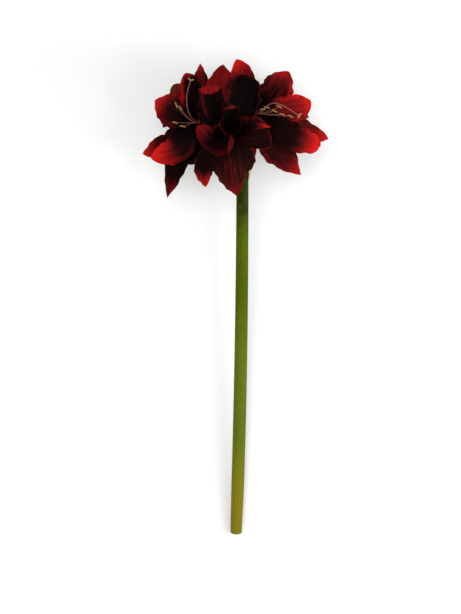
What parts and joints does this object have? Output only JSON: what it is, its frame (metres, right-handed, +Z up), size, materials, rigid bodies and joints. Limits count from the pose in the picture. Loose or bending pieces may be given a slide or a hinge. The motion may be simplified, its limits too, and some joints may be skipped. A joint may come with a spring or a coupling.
{
  "type": "amaryllis stem",
  "caption": "Cut amaryllis stem: a head of large, ruffled, deep burgundy blooms with bright red petal tips, on a thick, bare, green scape, lying on a surface.",
  "frame": {"origin": "centre of the bounding box's base, on the surface that the stem lies on", "axes": "+Y along the scape from its cut end towards the head, +Z up from the surface, +X to the right of the head when it is seen from above with the head at the top"},
  "size_m": [0.278, 0.7486, 0.1927],
  "materials": {
    "scape_skin": "satin",
    "pedicel_left_skin": "satin",
    "pedicel_right_skin": "satin",
    "pedicel_front_skin": "satin",
    "pedicel_back_skin": "satin",
    "perianth_left_petal": "satin",
    "perianth_right_petal": "satin",
    "perianth_front_petal": "satin",
    "perianth_back_petal": "satin",
    "stamens_left_pollen": "matte",
    "stamens_right_pollen": "matte",
    "pistil_left_style": "satin",
    "pistil_right_style": "satin",
    "spathe_right_paper": "matte",
    "spathe_left_paper": "matte"
  },
  "bodies": {
    "root": {"scape": "scape_skin", "pedicel_left": "pedicel_left_skin", "pedicel_right": "pedicel_right_skin", "pedicel_front": "pedicel_front_skin", "pedicel_back": "pedicel_back_skin", "perianth_left": "perianth_left_petal", "perianth_right": "perianth_right_petal", "perianth_front": "perianth_front_petal", "perianth_back": "perianth_back_petal", "stamens_left": "stamens_left_pollen", "stamens_right": "stamens_right_pollen", "pistil_left": "pistil_left_style", "pistil_right": "pistil_right_style", "spathe_right": "spathe_right_paper", "spathe_left": "spathe_left_paper"}
  },
  "joints": []
}
